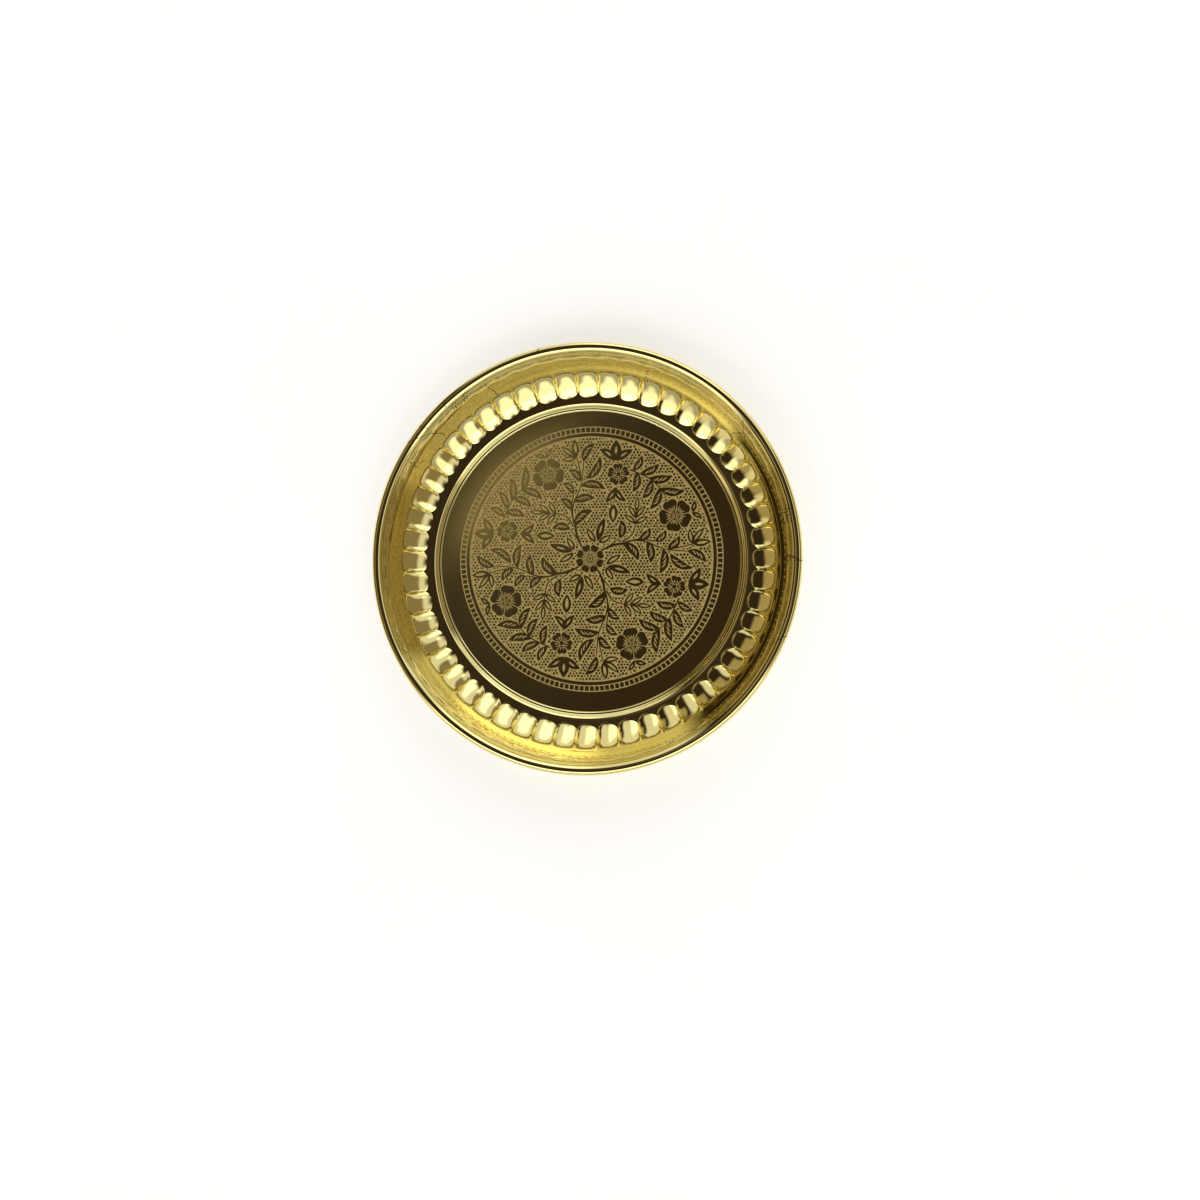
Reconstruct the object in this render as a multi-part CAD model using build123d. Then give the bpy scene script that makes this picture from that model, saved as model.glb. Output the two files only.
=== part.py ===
from build123d import *
import os
from math import atan2, cos, degrees, hypot, pi, radians, sin

# A brass thali: a pressed sheet dish with a fluted wall, its edge curled round a stiffening wire.
# Millimetres, +Z up. The origin is the centre of the flat underside, where the plate rests.

# Driving dimensions: the sheet and its flat floor
sheet = 0.6                  # thickness of the brass sheet
floor_diameter = 145.8       # flat floor inside the moulding

# The moulding that lifts the ledge off the floor, as radii at the sheet's middle and slopes
bead_radius = 0.65           # both bends of the small step at the floor's edge
bead_slope = 50.0
bead_flat = 0.2              # level strip between the small step and the large one
ovolo_foot_radius = 0.8      # bend at the foot of the large step
ovolo_slope = 42.0
ovolo_run = 1.3              # straight face of the large step
ovolo_crown_radius = 2.4     # rounded top of the large step

# The ledge, the wall and the shoulder under the rim
ledge_width = 4.9
ledge_slope = 4.0
cove_radius = 9.3            # hollow bend from the ledge up into the wall, at the sheet's middle
wall_slope = 62.0
wall_run = 15.4              # straight face of the wall, flutes below and a plain band above
shoulder_radius = 3.2        # outward bend under the rim
shoulder_slope = 14.0        # slope at which the bend tightens into the curl

# The stiffening wire and the curl round it
wire_diameter = 2.95
wire_clearance = 0.2         # all round, between wire and curl
wire_butt_gap = 0.5          # between the two ends of the wire
curl_end_heading = -240.0    # heading of the sheet's cut edge, measured from level outwards

# The flutes, long pillows that stand out from the hollow bend towards the middle of the plate
flute_count = 52
flute_height = 2.0           # of the crest in front of the middle of the hollow bend
flute_valley = 1.3           # clear width between neighbours at that height
flute_toe_reach = 2.0        # of the toe onto the ledge, from the start of the hollow bend
flute_head_run = 7.0         # of the head up the wall, from the end of the hollow bend
flute_bury = 3.0             # extra length at both ends, inside or behind the sheet
flute_phase = 89.9           # direction of the first flute, in degrees from +X


class SheetPath:
    """A smooth run of lines and arcs in the half-plane, kept as headings so that it can be offset."""

    def __init__(self, start, heading):
        self.point = start
        self.heading = heading
        self.moves = []

    def line(self, length):
        """Goes straight on."""
        start = self.point
        a = radians(self.heading)
        self.point = (start[0] + length * cos(a), start[1] + length * sin(a))
        self.moves.append(("line", start, self.heading, self.point, self.heading, 0.0))

    def bend(self, radius, heading):
        """Turns to a new heading on an arc."""
        start = self.point
        side = 1.0 if heading > self.heading else -1.0
        a, b = radians(self.heading), radians(heading)
        centre = (start[0] - side * radius * sin(a), start[1] + side * radius * cos(a))
        self.point = (centre[0] + side * radius * sin(b), centre[1] - side * radius * cos(b))
        self.moves.append(("bend", start, self.heading, self.point, heading, side * radius))
        self.heading = heading
        return centre

    def edges(self, offset):
        """The same run moved to its left by offset, as edges in the XZ plane."""

        def moved(point, heading):
            a = radians(heading)
            return (point[0] - offset * sin(a), 0, point[1] + offset * cos(a))

        made = []
        for kind, start, heading_in, end, heading_out, radius in self.moves:
            first, last = moved(start, heading_in), moved(end, heading_out)
            if kind == "line":
                made.append(Edge.make_line(first, last))
            else:
                a, half = radians(heading_in), radians(heading_in + heading_out) / 2
                centre = (start[0] - radius * sin(a), start[1] + radius * cos(a))
                reach = radius - offset
                middle = (centre[0] + reach * sin(half), 0, centre[1] - reach * cos(half))
                made.append(Edge.make_three_point_arc(first, middle, last))
        return made


def dish_path():
    """The sheet's middle line from the centre of the floor to the cut edge inside the curl."""
    path = SheetPath((0.0, sheet / 2), 0.0)
    path.line(floor_diameter / 2)
    path.bend(bead_radius, bead_slope)
    path.bend(bead_radius, 0.0)
    path.line(bead_flat)
    path.bend(ovolo_foot_radius, ovolo_slope)
    path.line(ovolo_run)
    path.bend(ovolo_crown_radius, ledge_slope)
    path.line(ledge_width)
    cove_centre = path.bend(cove_radius, wall_slope)
    path.line(wall_run)
    path.bend(shoulder_radius, shoulder_slope)
    wire_centre = path.bend(wire_diameter / 2 + wire_clearance + sheet / 2, curl_end_heading)
    return path, cove_centre, wire_centre


def share_of(outline):
    """A closed outline in the XZ plane turned about Z through one flute's share, centred on +X."""
    pitch = 360 / flute_count
    return Solid.revolve(Face(Wire(outline)), pitch, Axis.Z).rotate(Axis.Z, -pitch / 2)


def sheet_share(path):
    """One flute's share of the plain sheet: the middle line thickened and turned."""
    top, bottom = path.edges(sheet / 2), path.edges(-sheet / 2)
    tip = Edge.make_line(top[-1] @ 1, bottom[-1] @ 1)
    axis_edge = Edge.make_line(bottom[0] @ 0, top[0] @ 0)
    return share_of(top + [tip] + bottom + [axis_edge])


def bowl_share(path):
    """One flute's share of the space above the sheet's middle line, up to the shoulder."""
    floor_line = path.edges(0.0)[:-2]
    top = (floor_line[-1] @ 1).Z
    rim_edge = Edge.make_line(floor_line[-1] @ 1, (0, 0, top))
    axis_edge = Edge.make_line((0, 0, top), floor_line[0] @ 0)
    return share_of(floor_line + [rim_edge, axis_edge])


def along(point, heading, length):
    """A point moved along a heading."""
    return (point[0] + length * cos(radians(heading)), point[1] + length * sin(radians(heading)))


def circle_through(a, b, c):
    """Centre and radius of the circle through three points of the half-plane."""
    d = 2 * (a[0] * (b[1] - c[1]) + b[0] * (c[1] - a[1]) + c[0] * (a[1] - b[1]))
    squares = [p[0] ** 2 + p[1] ** 2 for p in (a, b, c)]
    x = (squares[0] * (b[1] - c[1]) + squares[1] * (c[1] - a[1]) + squares[2] * (a[1] - b[1])) / d
    y = (squares[0] * (c[0] - b[0]) + squares[1] * (a[0] - c[0]) + squares[2] * (b[0] - a[0])) / d
    return (x, y), hypot(a[0] - x, a[1] - y)


def flute_form(cove_centre, shrink):
    """One flute on +X, a length of torus whose crest runs through a toe, a middle and a head point.

    The crest's ends lie on the sheet's upper face. shrink is taken off the tube's radius, so that the
    sheet's thickness gives the hollow behind a flute.
    """

    def in_cove(slope, height):
        return along(cove_centre, slope - 90, cove_radius - sheet / 2 - height)

    toe = along(in_cove(ledge_slope, 0), ledge_slope, -flute_toe_reach)
    middle = in_cove((ledge_slope + wall_slope) / 2, flute_height)
    head = along(in_cove(wall_slope, 0), wall_slope, flute_head_run)
    centre, crest = circle_through(toe, middle, head)

    half_width = pi * middle[0] / flute_count - flute_valley / 2
    tube = (half_width**2 + flute_height**2) / (2 * flute_height)
    extra = degrees(flute_bury / crest)
    first = degrees(atan2(toe[1] - centre[1], toe[0] - centre[0])) - extra
    last = degrees(atan2(head[1] - centre[1], head[0] - centre[0])) + extra

    start = along(centre, first, crest + tube)
    frame = Plane((start[0], 0, start[1]), z_dir=(-sin(radians(first)), 0, cos(radians(first))))
    section = Face(Wire.make_circle(tube - shrink, frame))
    return Solid.revolve(section, last - first, Axis((centre[0], 0, centre[1]), (0, -1, 0)))


def is_cut_side(face):
    """Whether a face is one of the two flat sides where a share meets its neighbours."""
    return face.geom_type == GeomType.PLANE and abs(face.normal_at().Z) < 1e-6


def make_dish():
    """The pressed dish: one flute's share of it, repeated round Z and sewn into a single sheet."""
    path, cove_centre, _ = dish_path()
    flute = (flute_form(cove_centre, 0.0) & bowl_share(path)).solid()
    share = sheet_share(path).fuse(flute).cut(flute_form(cove_centre, sheet)).solid()
    skin = [face for face in share.faces() if not is_cut_side(face)]
    turns = [flute_phase + i * 360 / flute_count for i in range(flute_count)]
    return Solid(Shell([face.rotate(Axis.Z, turn) for turn in turns for face in skin])).clean()


def make_rim_wire():
    """The wire inside the curl, one length bent round with its ends butted."""
    _, _, wire_centre = dish_path()
    gap_angle = degrees(wire_butt_gap / wire_centre[0])
    frame = Plane((wire_centre[0], 0, wire_centre[1]), z_dir=(0, 1, 0))
    section = Face(Wire.make_circle(wire_diameter / 2, frame))
    return Solid.revolve(section, 360 - gap_angle, Axis.Z)


def main():
    """Writes one STEP file for each piece."""
    os.makedirs("parts", exist_ok=True)
    for name, shape in (("dish", make_dish()), ("rim_wire", make_rim_wire())):
        shape.label = name
        box = shape.bounding_box()
        print(name, "valid", shape.is_valid, "volume", round(shape.volume, 1), "size", box.size)
        export_step(shape, f"parts/{name}.step")


main()
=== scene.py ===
"""A fluted brass thali with an engraved floor and a rolled rim, on a pale studio floor."""
import logging
import math
from collections.abc import Iterator
from contextlib import contextmanager
from dataclasses import dataclass
from enum import Enum, auto
from typing import ClassVar

import bpy
import numpy as np
from mathutils import Matrix, Vector
from mathutils.geometry import delaunay_2d_cdt


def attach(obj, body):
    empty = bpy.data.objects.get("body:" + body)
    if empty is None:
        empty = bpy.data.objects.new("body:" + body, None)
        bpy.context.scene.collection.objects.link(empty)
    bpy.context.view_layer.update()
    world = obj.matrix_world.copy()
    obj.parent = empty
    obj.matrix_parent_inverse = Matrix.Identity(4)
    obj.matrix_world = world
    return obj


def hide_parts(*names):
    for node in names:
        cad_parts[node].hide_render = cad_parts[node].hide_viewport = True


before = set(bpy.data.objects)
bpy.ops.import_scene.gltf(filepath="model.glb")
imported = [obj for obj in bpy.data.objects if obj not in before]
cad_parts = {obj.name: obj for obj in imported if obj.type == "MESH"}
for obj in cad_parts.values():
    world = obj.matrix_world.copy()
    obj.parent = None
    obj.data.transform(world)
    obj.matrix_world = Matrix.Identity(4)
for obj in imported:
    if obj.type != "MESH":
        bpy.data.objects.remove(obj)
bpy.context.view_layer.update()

Socket = bpy.types.NodeSocket
Point = tuple[float, float]
Span = tuple[float, float]
Colour = tuple[float, float, float, float]
Value = Socket | float | Colour
Outline = tuple[np.ndarray, bool]
MM = 0.001
BODY = "root"
DISH_NODE = "dish"
WIRE_NODE = "rim_wire"
WELD = 2e-6
SMOOTH_ANGLE = math.radians(40)
LOG = logging.getLogger("thali")


class Run(Enum):
    """The runs of the sheet's section, from the middle of the floor to the end of the curl."""

    FLOOR = auto()
    BEAD_RISE = auto()
    BEAD_TOP = auto()
    BEAD_FLAT = auto()
    OVOLO_FOOT = auto()
    OVOLO_FACE = auto()
    OVOLO_CROWN = auto()
    LEDGE = auto()
    COVE = auto()
    WALL = auto()
    SHOULDER = auto()
    CURL = auto()


@dataclass(frozen=True)
class Station:
    """A place on the sheet's upper face, in millimetres, with the slope there in radians."""

    r: float
    z: float
    slope: float

    def offset(self, along: float, up: float) -> np.ndarray:
        """The point this far along the face and above it."""
        c, s = math.cos(self.slope), math.sin(self.slope)
        return np.array((self.r + along * c - up * s, self.z + along * s + up * c))


@dataclass(frozen=True)
class SheetSizes:
    """Sizes of the pressed sheet in millimetres and degrees; radii are at the sheet's middle."""

    sheet: float = 0.6
    floor_radius: float = 72.9
    bead_radius: float = 0.65
    bead_slope: float = 50.0
    bead_flat: float = 0.2
    ovolo_foot_radius: float = 0.8
    ovolo_slope: float = 42.0
    ovolo_run: float = 1.3
    ovolo_crown_radius: float = 2.4
    ledge_width: float = 4.9
    ledge_slope: float = 4.0
    cove_radius: float = 9.3
    wall_slope: float = 62.0
    wall_run: float = 15.4
    wall_swell: float = 0.4
    shoulder_radius: float = 3.2
    shoulder_slope: float = 14.0
    curl_radius: float = 1.975
    curl_end_heading: float = -240.0


class SheetProfile:
    """The section of the dish as straight runs and bends, read along its upper face."""

    def __init__(self, sizes: SheetSizes) -> None:
        """Lays out every run.

        Args:
            sizes: the sheet's sizes.
        """
        self.sizes = sizes
        self._at = (0.0, sizes.sheet / 2)
        self._heading = 0.0
        self._runs: dict[Run, tuple[Point, float, float, float, float]] = {}
        self._line(Run.FLOOR, sizes.floor_radius)
        self._bend(Run.BEAD_RISE, sizes.bead_radius, sizes.bead_slope)
        self._bend(Run.BEAD_TOP, sizes.bead_radius, 0.0)
        self._line(Run.BEAD_FLAT, sizes.bead_flat)
        self._bend(Run.OVOLO_FOOT, sizes.ovolo_foot_radius, sizes.ovolo_slope)
        self._line(Run.OVOLO_FACE, sizes.ovolo_run)
        self._bend(Run.OVOLO_CROWN, sizes.ovolo_crown_radius, sizes.ledge_slope)
        self._line(Run.LEDGE, sizes.ledge_width)
        self._bend(Run.COVE, sizes.cove_radius, sizes.wall_slope)
        self._line(Run.WALL, sizes.wall_run)
        self._bend(Run.SHOULDER, sizes.shoulder_radius, sizes.shoulder_slope)
        self._bend(Run.CURL, sizes.curl_radius, sizes.curl_end_heading)

    def _line(self, run: Run, length: float) -> None:
        """Goes straight on.

        Args:
            run: the run's name.
            length: how far, in millimetres.
        """
        start, a = self._at, math.radians(self._heading)
        self._at = (start[0] + length * math.cos(a), start[1] + length * math.sin(a))
        self._runs[run] = (start, self._heading, self._heading, 0.0, length)

    def _bend(self, run: Run, radius: float, heading: float) -> None:
        """Turns to a new heading on an arc.

        Args:
            run: the run's name.
            radius: of the bend at the sheet's middle.
            heading: where it ends up, in degrees.
        """
        start, a, b = self._at, math.radians(self._heading), math.radians(heading)
        turn = radius if heading > self._heading else -radius
        centre = (start[0] - turn * math.sin(a), start[1] + turn * math.cos(a))
        self._at = (centre[0] + turn * math.sin(b), centre[1] - turn * math.cos(b))
        self._runs[run] = (start, self._heading, heading, turn, 0.0)
        self._heading = heading

    def station(self, run: Run, share: float) -> Station:
        """The upper face at a share of a run.

        Args:
            run: which run.
            share: 0 at its start, 1 at its end.

        Returns:
            The station there.
        """
        start, first, last, turn, length = self._runs[run]
        a, b = math.radians(first), math.radians(first + (last - first) * share)
        r = start[0] + turn * (math.sin(b) - math.sin(a)) + length * share * math.cos(a)
        z = start[1] - turn * (math.cos(b) - math.cos(a)) + length * share * math.sin(a)
        lift = self.sizes.sheet / 2
        if run is Run.WALL:
            lift += 4 * self.sizes.wall_swell * share * (1 - share)
        r, z = r - lift * math.sin(b), z + lift * math.cos(b)
        if run is Run.WALL:
            b += math.atan(4 * self.sizes.wall_swell * (1 - 2 * share) / length)
        return Station(r, z, b)

    def sample(self, run: Run, count: int, start: float = 0.0, end: float = 1.0) -> list[Station]:
        """Evenly spaced stations of a run, both ends included.

        Args:
            run: which run.
            count: number of steps.
            start: share where the stations begin.
            end: share where they end.

        Returns:
            The stations in order.
        """
        return [self.station(run, start + (end - start) * i / count) for i in range(count + 1)]


def activate(piece: bpy.types.Object) -> None:
    """Makes a piece the only selected and active one.

    Args:
        piece: the piece.
    """
    bpy.ops.object.select_all(action="DESELECT")
    piece.select_set(True)
    bpy.context.view_layer.objects.active = piece


@contextmanager
def editing(piece: bpy.types.Object, everything: bool = True) -> Iterator[None]:
    """Holds a piece in edit mode.

    Args:
        piece: the piece.
        everything: whether to select all of it; otherwise the selection stays.

    Returns:
        A context that lasts as long as the mode.
    """
    activate(piece)
    bpy.ops.object.mode_set(mode="EDIT")
    if everything:
        bpy.ops.mesh.select_all(action="SELECT")
    yield
    bpy.ops.object.mode_set(mode="OBJECT")


def face_up(piece: bpy.types.Object) -> None:
    """Makes a skin's faces agree and its highest one look up.

    Args:
        piece: the skin.
    """
    with editing(piece):
        bpy.ops.mesh.normals_make_consistent(inside=False)
    highest = max(piece.data.polygons, key=lambda face: face.center.z)
    if highest.normal.z < 0:
        with editing(piece):
            bpy.ops.mesh.flip_normals()


def weld(piece: bpy.types.Object) -> None:
    """Merges the seams of a turned or repeated skin and turns its faces up.

    Args:
        piece: the skin.
    """
    with editing(piece):
        bpy.ops.mesh.remove_doubles(threshold=WELD)
    face_up(piece)


def thicken(piece: bpy.types.Object, sheet: float) -> None:
    """Gives a skin the sheet's thickness below its faces.

    Args:
        piece: the skin.
        sheet: thickness in millimetres.
    """
    activate(piece)
    wall = piece.modifiers.new("sheet", "SOLIDIFY")
    wall.thickness = sheet * MM
    wall.offset = -1.0
    wall.use_even_offset = True
    bpy.ops.object.modifier_apply(modifier=wall.name)
    bpy.ops.object.shade_smooth_by_angle(angle=SMOOTH_ANGLE)


def turn_skin(name: str, stations: list[Station], steps: int) -> bpy.types.Object:
    """A skin turned about the plate's axis: one point drawn along the section and spun.

    Args:
        name: of the piece.
        stations: the section, inside to outside.
        steps: number of divisions round the axis.

    Returns:
        The skin, facing up.
    """
    bpy.ops.mesh.primitive_plane_add(size=MM)
    piece = bpy.context.active_object
    piece.name = piece.data.name = name
    with editing(piece):
        bpy.ops.mesh.merge(type="CENTER")
        bpy.ops.transform.translate(value=(stations[0].r * MM, 0, stations[0].z * MM))
        for here, there in zip(stations, stations[1:]):
            step = ((there.r - here.r) * MM, 0, (there.z - here.z) * MM)
            bpy.ops.mesh.extrude_region_move(TRANSFORM_OT_translate={"value": step})
        bpy.ops.mesh.select_all(action="SELECT")
        bpy.ops.mesh.spin(steps=steps, angle=math.tau, center=(0, 0, 0), axis=(0, 0, 1))
    weld(piece)
    return piece


def report(piece: bpy.types.Object) -> None:
    """Logs a finished piece."""
    LOG.info("%s: %d faces", piece.name, len(piece.data.polygons))


def place(piece: bpy.types.Object, *finishes: "Finish") -> None:
    """Dresses a piece of the dish and puts it on the plate's body.

    Args:
        piece: the finished mesh.
        finishes: its materials, where it doesn't have them yet.
    """
    for finish in finishes:
        piece.data.materials.append(finish.material())
    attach(piece, BODY)
    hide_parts(DISH_NODE)
    report(piece)


class NodeSheet:
    """A node tree under construction, with short calls for the nodes that the finishes share."""

    def __init__(self, tree: bpy.types.NodeTree) -> None:
        """Clears the tree."""
        self.tree = tree
        tree.nodes.clear()

    def add(self, kind: str, **values: str) -> bpy.types.Node:
        """Adds a node.

        Args:
            kind: the node's type.
            values: properties set on it.

        Returns:
            The node.
        """
        node = self.tree.nodes.new(kind)
        for key, value in values.items():
            setattr(node, key, value)
        return node

    def feed(self, value: Value, socket: Socket) -> None:
        """Links a socket, or sets a plain value.

        Args:
            value: an output socket, a number or a colour.
            socket: the input.
        """
        if isinstance(value, Socket):
            self.tree.links.new(value, socket)
        else:
            socket.default_value = value

    def math(self, operation: str, *inputs: Value) -> Socket:
        """A Math node.

        Args:
            operation: its operation.
            inputs: sockets or numbers.

        Returns:
            Its output.
        """
        node = self.add("ShaderNodeMath", operation=operation)
        for value, socket in zip(inputs, node.inputs):
            self.feed(value, socket)
        return node.outputs[0]

    def ramp(
        self, value: Value, low: float, high: float, at_low: float = 0.0, at_high: float = 1.0
    ) -> Socket:
        """A smooth step between two values.

        Args:
            value: what is measured.
            low: where the step begins.
            high: where it ends.
            at_low: result below.
            at_high: result above.

        Returns:
            The step's output.
        """
        node = self.add("ShaderNodeMapRange", interpolation_type="SMOOTHSTEP")
        for socket, number in zip(node.inputs, (value, low, high, at_low, at_high)):
            self.feed(number, socket)
        return node.outputs[0]

    def noise(self, vector: Socket, scale: float, detail: float = 3.0) -> Socket:
        """Noise on given coordinates.

        Args:
            vector: the coordinates.
            scale: features in a metre.
            detail: octaves.

        Returns:
            The noise's value.
        """
        node = self.add("ShaderNodeTexNoise")
        self.feed(vector, node.inputs["Vector"])
        node.inputs["Scale"].default_value = scale
        node.inputs["Detail"].default_value = detail
        return node.outputs["Fac"]

    def blend(self, share: Socket, first: Value, second: Value) -> Socket:
        """A mix of two colours.

        Args:
            share: how much of the second.
            first: a colour or socket.
            second: a colour or socket.

        Returns:
            The mixed colour.
        """
        node = self.add("ShaderNodeMix", data_type="RGBA")
        self.feed(share, node.inputs[0])
        self.feed(first, node.inputs[6])
        self.feed(second, node.inputs[7])
        return node.outputs[2]

    def spot(self) -> Socket:
        """Object coordinates."""
        return self.add("ShaderNodeTexCoord").outputs["Object"]

    def metal(self, colour: Value, roughness: Value) -> bpy.types.Node:
        """A metal shader.

        Args:
            colour: its colour.
            roughness: its roughness.

        Returns:
            The shader.
        """
        shader = self.add("ShaderNodeBsdfPrincipled")
        shader.inputs["Metallic"].default_value = 1.0
        self.feed(colour, shader.inputs["Base Color"])
        self.feed(roughness, shader.inputs["Roughness"])
        return shader

    def bump(self, shader: bpy.types.Node, height: Socket, strength: float, depth: float) -> None:
        """Gives a shader a bumpy surface.

        Args:
            shader: the shader.
            height: the bumps.
            strength: how much of them shows.
            depth: their depth in millimetres.
        """
        node = self.add("ShaderNodeBump")
        node.inputs["Strength"].default_value = strength
        node.inputs["Distance"].default_value = depth * MM
        self.feed(height, node.inputs["Height"])
        self.feed(node.outputs[0], shader.inputs["Normal"])

    def show(self, shader: bpy.types.Node, kind: str = "ShaderNodeOutputMaterial") -> None:
        """Sends a shader to the tree's output."""
        self.feed(shader.outputs[0], self.add(kind).inputs["Surface"])


class Finish:
    """A finish, made into a material once and shared by the pieces that have it."""

    name = "finish"

    def material(self) -> bpy.types.Material:
        """The finish as a material.

        Returns:
            The material, made on first use.
        """
        made = bpy.data.materials.get(self.name)
        if made is None:
            made = bpy.data.materials.new(self.name)
            made.use_nodes = True
            self.draw(NodeSheet(made.node_tree))
        return made

    def draw(self, sheet: NodeSheet) -> None:
        """Draws the finish's nodes."""
        raise NotImplementedError


@dataclass(frozen=True)
class PolishedBrass(Finish):
    """Buffed and lacquered sheet brass with faint turned lines and uneven gloss.

    Scales are features in a metre, the lathe's lines are in millimetres.
    """

    name: str = "polished_brass"
    gold: Colour = (0.87, 0.77, 0.34, 1.0)
    deep_gold: Colour = (0.845, 0.73, 0.30, 1.0)
    tarnish: Colour = (0.07, 0.045, 0.02, 1.0)
    cloud_scale: float = 38.0
    cloud_range: Span = (0.3, 0.75)
    gloss_scale: float = 160.0
    gloss_range: Span = (0.3, 0.7)
    gloss: Span = (0.025, 0.05)
    tarnish_roughness: float = 0.35
    lathe_pitch: float = 0.7
    lathe_wobble: float = 0.6
    wobble_scale: float = 20.0
    lathe_depth: float = 0.02
    lathe_strength: float = 0.01

    def draw(self, sheet: NodeSheet) -> None:
        """Draws the finish's nodes.

        Args:
            sheet: the node tree.
        """
        spot = sheet.spot()
        flat = sheet.add("ShaderNodeVectorMath", operation="MULTIPLY")
        sheet.feed(spot, flat.inputs[0])
        flat.inputs[1].default_value = (1, 1, 0)
        length = sheet.add("ShaderNodeVectorMath", operation="LENGTH")
        sheet.feed(flat.outputs[0], length.inputs[0])
        radius = sheet.math("DIVIDE", length.outputs["Value"], MM)
        cloud = sheet.ramp(sheet.noise(spot, self.cloud_scale, 1.0), *self.cloud_range)
        colour = sheet.blend(cloud, self.gold, self.deep_gold)
        gloss = sheet.ramp(sheet.noise(spot, self.gloss_scale, 2.0), *self.gloss_range, *self.gloss)
        wear = self.wear(sheet, spot, radius)
        if wear is not None:
            colour = sheet.blend(wear, colour, self.tarnish)
            gloss = sheet.math("ADD", gloss, sheet.math("MULTIPLY", wear, self.tarnish_roughness))
        shader = sheet.metal(colour, gloss)
        wobble = sheet.math("MULTIPLY", sheet.noise(spot, self.wobble_scale), self.lathe_wobble)
        line = sheet.math("DIVIDE", sheet.math("ADD", radius, wobble), self.lathe_pitch)
        wave = sheet.math("SINE", sheet.math("MULTIPLY", line, math.tau))
        sheet.bump(shader, wave, self.lathe_strength, self.lathe_depth)
        sheet.show(shader)

    def wear(self, sheet: NodeSheet, spot: Socket, radius: Socket) -> Socket | None:
        """The share of tarnish; clean brass has none."""
        return None


@dataclass(frozen=True)
class Crack:
    """A fine dark crack in the lacquer, from the rim inwards; radii in mm, angles in degrees."""

    bearing: float
    turn: float
    outer: float
    inner: float
    width: float = 0.4


@dataclass(frozen=True)
class Specks:
    """A patch of dark specks; radii in mm, angles in degrees."""

    bearing: float
    spread: float
    outer: float
    inner: float


@dataclass(frozen=True)
class WornBrass(PolishedBrass):
    """The brass of the wall and rim, with cracks and specks of tarnish."""

    name: str = "worn_brass"
    cracks: tuple[Crack, ...] = (
        Crack(146.5, -8.0, 101.6, 91.5, 0.45),
        Crack(141.0, -1.0, 101.6, 96.5, 0.5),
        Crack(131.5, 0.6, 101.6, 97.5, 0.4),
        Crack(119.5, -1.6, 95.5, 89.5, 0.35),
        Crack(101.5, 1.2, 101.6, 98.5, 0.6),
        Crack(39.5, -5.0, 97.5, 91.0, 0.4),
        Crack(36.0, 4.0, 96.5, 90.0, 0.3),
        Crack(-1.5, 1.5, 101.6, 94.0, 0.5),
        Crack(-21.5, -5.5, 101.6, 92.5, 0.45),
    )
    specks: tuple[Specks, ...] = (
        Specks(71.0, 0.7, 94.0, 84.5),
        Specks(150.0, 2.2, 96.0, 92.0),
        Specks(11.0, 3.5, 99.0, 94.0),
        Specks(-1.0, 1.8, 98.5, 93.0),
        Specks(128.0, 5.0, 97.0, 94.5),
    )
    stray: float = 1.4
    stray_scale: float = 420.0
    crack_edge: Span = (0.25, 0.6)
    speck_scale: float = 1300.0
    speck_range: Span = (0.56, 0.62)
    patch_core: float = 0.4
    fade: float = 0.3

    def wear(self, sheet: NodeSheet, spot: Socket, radius: Socket) -> Socket:
        """Where the brass is tarnished.

        Args:
            sheet: the node tree.
            spot: object coordinates.
            radius: distance from the plate's axis in millimetres.

        Returns:
            The share of tarnish.
        """
        split = sheet.add("ShaderNodeSeparateXYZ")
        sheet.feed(spot, split.inputs[0])
        bearing = sheet.math("DEGREES", sheet.math("ARCTAN2", split.outputs["Y"], split.outputs["X"]))
        jitter = sheet.math("SUBTRACT", sheet.noise(spot, self.stray_scale), 0.5)
        rough_bearing = sheet.math("ADD", bearing, sheet.math("MULTIPLY", jitter, self.stray))
        total: Value = 0.0
        for crack in self.cracks:
            share = sheet.ramp(radius, crack.inner, crack.outer, 1.0, 0.0)
            centre = sheet.math("MULTIPLY_ADD", share, crack.turn, crack.bearing)
            off = sheet.math("ABSOLUTE", sheet.math("SUBTRACT", rough_bearing, centre))
            off = sheet.math("MULTIPLY", off, radius)
            core, edge = (math.degrees(crack.width) * part for part in self.crack_edge)
            line = sheet.ramp(off, core, edge, 1.0, 0.0)
            total = sheet.math("MAXIMUM", total, self.between(sheet, radius, crack, line))
        grain = sheet.ramp(sheet.noise(spot, self.speck_scale, 1.0), *self.speck_range)
        for patch in self.specks:
            off = sheet.math("ABSOLUTE", sheet.math("SUBTRACT", bearing, patch.bearing))
            near = sheet.ramp(off, patch.spread * self.patch_core, patch.spread, 1.0, 0.0)
            near = sheet.math("MULTIPLY", grain, near)
            total = sheet.math("MAXIMUM", total, self.between(sheet, radius, patch, near))
        return total

    def between(self, sheet: NodeSheet, radius: Socket, mark: Crack | Specks, value: Socket) -> Socket:
        """A value kept only between a mark's radii.

        Args:
            sheet: the node tree.
            radius: distance from the plate's axis in millimetres.
            mark: a crack or a patch of specks.
            value: what is kept.

        Returns:
            The value inside, nothing outside.
        """
        outside = sheet.ramp(radius, mark.inner - self.fade, mark.inner + self.fade)
        inside = sheet.ramp(radius, mark.outer - self.fade, mark.outer + self.fade, 1.0, 0.0)
        return sheet.math("MULTIPLY", value, sheet.math("MULTIPLY", outside, inside))


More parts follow.
